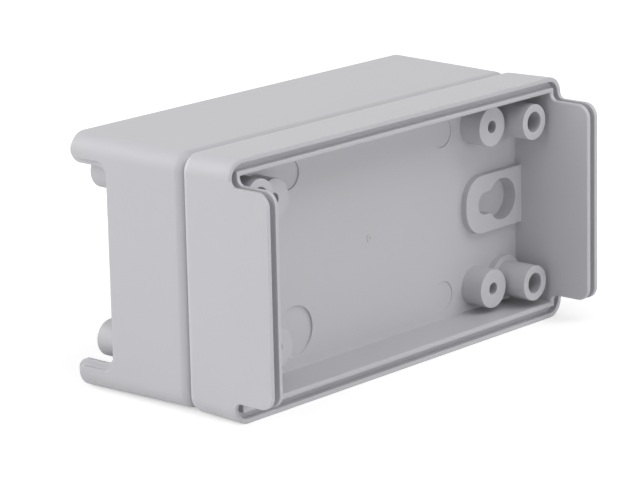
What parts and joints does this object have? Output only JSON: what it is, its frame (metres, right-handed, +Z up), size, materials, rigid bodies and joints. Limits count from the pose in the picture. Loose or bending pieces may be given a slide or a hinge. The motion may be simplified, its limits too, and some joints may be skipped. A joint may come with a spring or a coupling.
{
  "type": "electronics enclosure",
  "caption": "Moulded plastic electronics box, taken apart: a shallow wall-mount tray with board bosses, screw tubes and keyhole pads, and a deep cover with screw posts.",
  "frame": {"origin": "bottom centre of the box around both halves, on the surface that they stand on", "axes": "+X along the length, -Y out of the base tray's mouth, +Y out of the cover's mouth, +Z up across the width"},
  "size_m": [0.107, 0.0566, 0.055],
  "materials": {
    "grey_plastic": "satin light grey moulded plastic"
  },
  "bodies": {
    "root": {"base_tray": "grey_plastic", "cover": "grey_plastic"}
  },
  "joints": []
}
